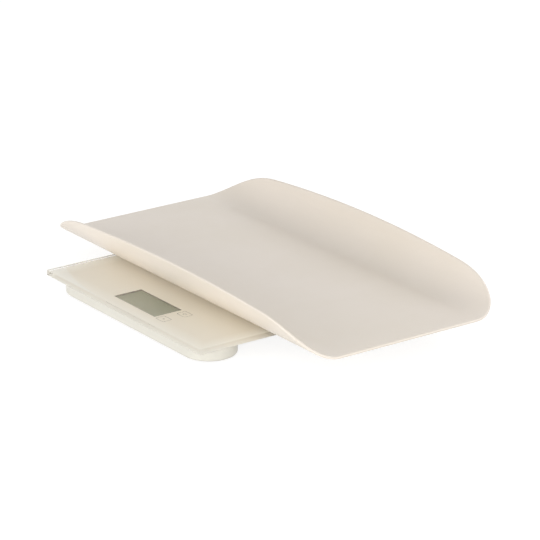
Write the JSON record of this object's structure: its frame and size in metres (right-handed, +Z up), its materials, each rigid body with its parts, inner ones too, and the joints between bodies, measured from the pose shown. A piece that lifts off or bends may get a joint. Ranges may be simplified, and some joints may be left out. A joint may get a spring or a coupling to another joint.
{
  "type": "digital baby weighing scale",
  "caption": "Digital baby scale: thin square glass platform on foot housings with a display and touch keys, under a long lift-off tray with raised side lips.",
  "frame": {"origin": "middle of the whole object's footprint, on the floor that the rubber feet stand on", "axes": "+X along the tray, -Y towards the display edge of the glass, +Z up"},
  "size_m": [0.5128, 0.3328, 0.0701],
  "materials": {
    "platform_glass": "polished tempered glass with ground edges",
    "glass_print": "cream print seen through the glass, with two thin key outlines",
    "tape": "white foam tape",
    "housing_plastic": "satin off-white ABS",
    "lcd": "blank grey-green reflective display",
    "elastomer": "pink silicone with a dark conducting stripe",
    "circuit_board": "green solder mask",
    "black_resin": "glossy black resin",
    "switch_plastic": "black moulded plastic",
    "steel": "stamped steel",
    "gasket_foam": "dark closed-cell foam",
    "conductive_foam": "grey conductive cloth over foam",
    "cell_jacket": "plain printed jacket without lettering",
    "contact_metal": "nickel-plated spring strip",
    "red_wire": "soft PVC",
    "black_wire": "soft PVC",
    "button_plastic": "fine moulded grain",
    "foot_rubber": "matt translucent-grey non-slip rubber",
    "cable_jacket": "soft grey PVC",
    "tray_rubber": "soft clear-grey silicone",
    "tray_plastic": "satin cream ABS with a very fine moulded grain"
  },
  "bodies": {
    "base": {"glass_platform": "platform_glass", "backing_film": "glass_print", "front_tape": "tape", "rear_tape": "tape", "front_frame": "housing_plastic", "rear_frame": "housing_plastic", "front_shell": "housing_plastic", "rear_shell": "housing_plastic", "cable_duct": "housing_plastic", "duct_tape": "tape", "display_gasket": "gasket_foam", "lcd_panel": "lcd", "zebra_strip": "elastomer", "main_board": "circuit_board", "controller_chip": "black_resin", "unit_switch": "switch_plastic", "shell_screws": "steel", "board_screws": "steel", "touch_pad_front": "conductive_foam", "touch_pad_rear": "conductive_foam", "battery_front": "cell_jacket", "battery_rear": "cell_jacket", "contact_positive": "contact_metal", "contact_negative": "contact_metal", "contact_link": "contact_metal", "battery_lead_positive": "red_wire", "battery_lead_negative": "black_wire", "load_cell_front_left": "steel", "foot_carrier_front_left": "housing_plastic", "foot_rubber_front_left": "foot_rubber", "cell_cable_front_left": "cable_jacket", "load_cell_front_right": "steel", "foot_carrier_front_right": "housing_plastic", "foot_rubber_front_right": "foot_rubber", "cell_cable_front_right": "cable_jacket", "load_cell_rear_left": "steel", "foot_carrier_rear_left": "housing_plastic", "foot_rubber_rear_left": "foot_rubber", "cell_cable_rear_left": "cable_jacket", "load_cell_rear_right": "steel", "foot_carrier_rear_right": "housing_plastic", "foot_rubber_rear_right": "foot_rubber", "cell_cable_rear_right": "cable_jacket"},
    "tray": {"tray_shell": "tray_plastic", "tray_foot_front_left": "tray_rubber", "tray_foot_front_right": "tray_rubber", "tray_foot_rear_left": "tray_rubber", "tray_foot_rear_right": "tray_rubber"},
    "battery_door": {"battery_door": "housing_plastic"},
    "unit_button": {"unit_button": "button_plastic", "switch_plunger": "switch_plastic"}
  },
  "joints": [
    {"name": "tray_lift", "type": "slide", "parent": "base", "child": "tray", "axis": [0, 0, 1], "range_m": [0, 0.12]},
    {"name": "battery_door_hinge", "type": "hinge", "parent": "base", "child": "battery_door", "pos_m": [-0.0983, -0.12821, 0.0032], "axis": [0, 1, 0], "range_deg": [0, 95]},
    {"name": "unit_button_press", "type": "slide", "parent": "base", "child": "unit_button", "axis": [0, 0, 1], "range_m": [0, 0.0005], "stiffness_N_per_m": 1200, "springref_m": -0.0004}
  ]
}
